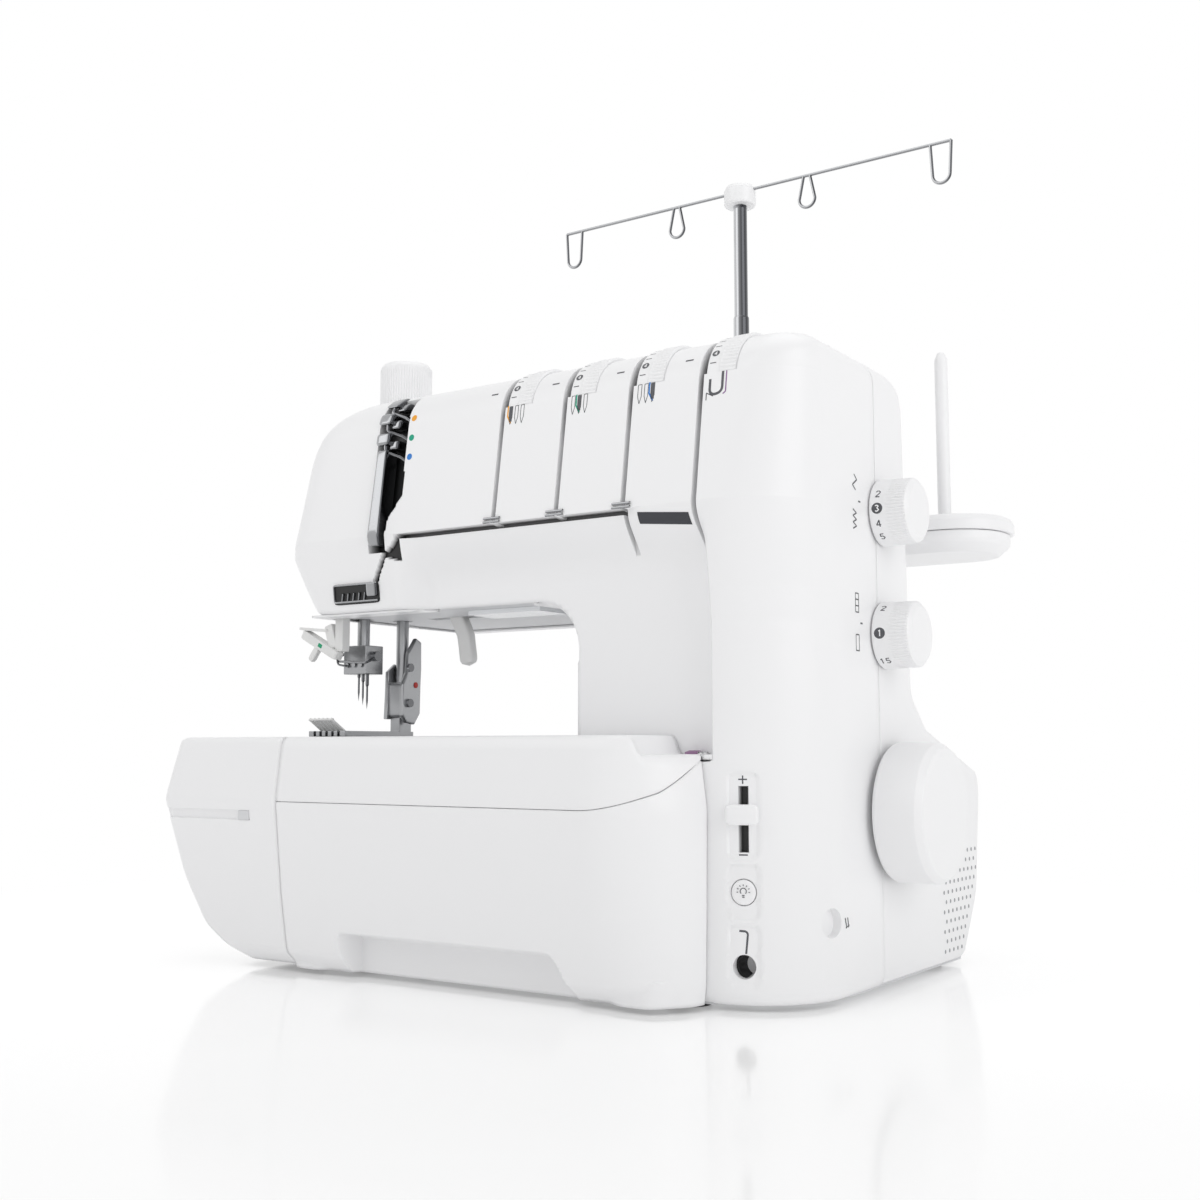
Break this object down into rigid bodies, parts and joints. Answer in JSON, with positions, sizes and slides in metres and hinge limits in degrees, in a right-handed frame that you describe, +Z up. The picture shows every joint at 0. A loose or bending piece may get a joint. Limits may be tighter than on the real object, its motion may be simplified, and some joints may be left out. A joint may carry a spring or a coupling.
{
  "type": "cover-stitch sewing machine",
  "caption": "White three-needle cover-stitch sewing machine with tension dials, handwheel, slide-on table, looper cover and a telescopic thread stand.",
  "frame": {"origin": "on the floor under the centre of the overall box", "axes": "+X towards the handwheel, +Y to the back, +Z up"},
  "size_m": [0.4058, 0.274, 0.449],
  "materials": {
    "white_shell": "satin moulded ABS",
    "grey_plastic": "fine matt moulding",
    "clear_plastic": "translucent moulding",
    "steel": "ground",
    "chrome": "polished plating",
    "cast_aluminium": "as cast",
    "bronze": "sintered",
    "motor_paint": "satin",
    "belt_rubber": "moulded",
    "foot_rubber": "moulded"
  },
  "bodies": {
    "machine": {"arm_underside_cover": "grey_plastic", "base_plate": "grey_plastic", "bed_cover": "white_shell", "bed_housing": "white_shell", "belts": "belt_rubber", "column_cover": "white_shell", "cover_hinge_pins": "steel", "free_arm": "white_shell", "front_cover": "white_shell", "housing_screws": "chrome", "knee_lift_socket": "grey_plastic", "led_lens": "clear_plastic", "main_frame": "cast_aluminium", "motor": "motor_paint", "needle_plate": "steel", "power_inlet": "grey_plastic", "pressure_spring": "steel", "rear_cover": "white_shell", "rod_lower_tube": "chrome", "rubber_feet": "foot_rubber", "shaft_bushes": "bronze", "spool_pins": "white_shell", "stand_rim": "white_shell", "stand_shell": "white_shell", "take_up_cover": "chrome", "tension_discs": "steel", "tension_shaft": "steel", "thread_guides": "chrome"},
    "handwheel_drive": {"handwheel": "white_shell", "main_shaft": "steel"},
    "upper_drive": {"upper_shaft": "steel"},
    "motor_drive": {"motor_pulley": "cast_aluminium"},
    "needle_bar": {"needle_bar": "steel", "needle_clamp": "steel", "needles": "chrome", "clamp_screws": "chrome", "take_up_lever": "steel"},
    "looper": {"looper": "steel"},
    "feed_dog": {"feed_dog": "steel"},
    "presser": {"presser_bar": "steel", "foot_shank": "steel", "foot_sole": "steel", "foot_screws": "chrome"},
    "lifter": {"lifter_lever": "clear_plastic"},
    "pressure_knob": {"pressure_knob": "white_shell"},
    "tension_1": {"tension_dial_1": "white_shell"},
    "tension_2": {"tension_dial_2": "white_shell"},
    "tension_3": {"tension_dial_3": "white_shell"},
    "tension_4": {"tension_dial_4": "white_shell"},
    "stitch_length": {"stitch_length_dial": "white_shell"},
    "differential": {"differential_dial": "white_shell"},
    "slider": {"tension_slider": "white_shell"},
    "light_button": {"light_button": "white_shell"},
    "looper_cover": {"looper_cover": "white_shell"},
    "table": {"slide_on_table": "white_shell"},
    "latch": {"table_latch": "grey_plastic"},
    "thread_guide": {"rod_upper_tube": "chrome", "guide_cap": "white_shell", "guide_wire": "chrome"},
    "threader": {"needle_threader": "grey_plastic"}
  },
  "joints": [
    {"name": "handwheel_turn", "type": "hinge", "parent": "machine", "child": "handwheel_drive", "pos_m": [0.18, 0.004, 0.084], "axis": [1, 0, 0], "continuous": true},
    {"name": "upper_turn", "type": "hinge", "parent": "machine", "child": "upper_drive", "pos_m": [0.1, -0.067, 0.245], "axis": [1, 0, 0], "continuous": true},
    {"name": "motor_turn", "type": "hinge", "parent": "machine", "child": "motor_drive", "pos_m": [0.13, 0.09, 0.052], "axis": [1, 0, 0], "continuous": true},
    {"name": "needle_stroke", "type": "slide", "parent": "machine", "child": "needle_bar", "axis": [0, 0, -1], "range_m": [0, 0.026]},
    {"name": "looper_swing", "type": "hinge", "parent": "machine", "child": "looper", "pos_m": [-0.1, -0.04, 0.074], "axis": [0, -1, 0], "range_deg": [0, 22]},
    {"name": "feed_stroke", "type": "slide", "parent": "machine", "child": "feed_dog", "axis": [0, -1, 0], "range_m": [0, 0.003]},
    {"name": "lifter_swing", "type": "hinge", "parent": "machine", "child": "lifter", "pos_m": [-0.081, -0.041, 0.197], "axis": [0, -1, 0], "range_deg": [0, 31.5]},
    {"name": "presser_lift", "type": "slide", "parent": "machine", "child": "presser", "axis": [0, 0, 1], "range_m": [0, 0.005]},
    {"name": "pressure_turn", "type": "hinge", "parent": "machine", "child": "pressure_knob", "pos_m": [-0.112, -0.041, 0.31], "axis": [0, 0, 1], "range_deg": [-180, 180]},
    {"name": "tension_turn_1", "type": "hinge", "parent": "machine", "child": "tension_1", "pos_m": [0.012, -0.06759, 0.282], "axis": [1, 0, 0], "range_deg": [-120, 120]},
    {"name": "tension_turn_2", "type": "hinge", "parent": "machine", "child": "tension_2", "pos_m": [0.0505, -0.06759, 0.282], "axis": [1, 0, 0], "range_deg": [-120, 120]},
    {"name": "tension_turn_3", "type": "hinge", "parent": "machine", "child": "tension_3", "pos_m": [0.089, -0.06759, 0.282], "axis": [1, 0, 0], "range_deg": [-120, 120]},
    {"name": "tension_turn_4", "type": "hinge", "parent": "machine", "child": "tension_4", "pos_m": [0.1275, -0.06759, 0.282], "axis": [1, 0, 0], "range_deg": [-120, 120]},
    {"name": "stitch_length_turn", "type": "hinge", "parent": "machine", "child": "stitch_length", "pos_m": [0.176, -0.004, 0.229], "axis": [1, 0, 0], "range_deg": [-110, 110]},
    {"name": "differential_turn", "type": "hinge", "parent": "machine", "child": "differential", "pos_m": [0.176, -0.004, 0.169], "axis": [1, 0, 0], "range_deg": [-110, 110]},
    {"name": "slider_travel", "type": "slide", "parent": "machine", "child": "slider", "axis": [0, 0, 1], "range_m": [-0.012, 0.008]},
    {"name": "light_press", "type": "slide", "parent": "machine", "child": "light_button", "axis": [0, 1, 0], "range_m": [0, 0.0015], "stiffness_N_per_m": 300},
    {"name": "looper_cover_swing", "type": "hinge", "parent": "machine", "child": "looper_cover", "pos_m": [0, -0.118, 0.014], "axis": [1, 0, 0], "range_deg": [0, 75]},
    {"name": "table_slide", "type": "slide", "parent": "machine", "child": "table", "axis": [-1, 0, 0], "range_m": [0, 0.1]},
    {"name": "latch_slide", "type": "slide", "parent": "table", "child": "latch", "axis": [-1, 0, 0], "range_m": [0, 0.006]},
    {"name": "thread_guide_slide", "type": "slide", "parent": "machine", "child": "thread_guide", "axis": [0, 0, -1], "range_m": [0, 0.062]},
    {"name": "threader_slide", "type": "slide", "parent": "machine", "child": "threader", "axis": [0, 0, -1], "range_m": [0, 0.018]}
  ],
  "couplings": [
    {"joint": "upper_turn", "follows": "handwheel_turn", "ratio": 1},
    {"joint": "motor_turn", "follows": "handwheel_turn", "ratio": 3.5556},
    {"joint": "looper_swing", "follows": "needle_stroke", "rad_per_m": 14.097},
    {"joint": "feed_stroke", "follows": "needle_stroke", "ratio": 0.115},
    {"joint": "lifter_swing", "follows": "presser_lift", "rad_per_m": 104.7}
  ]
}
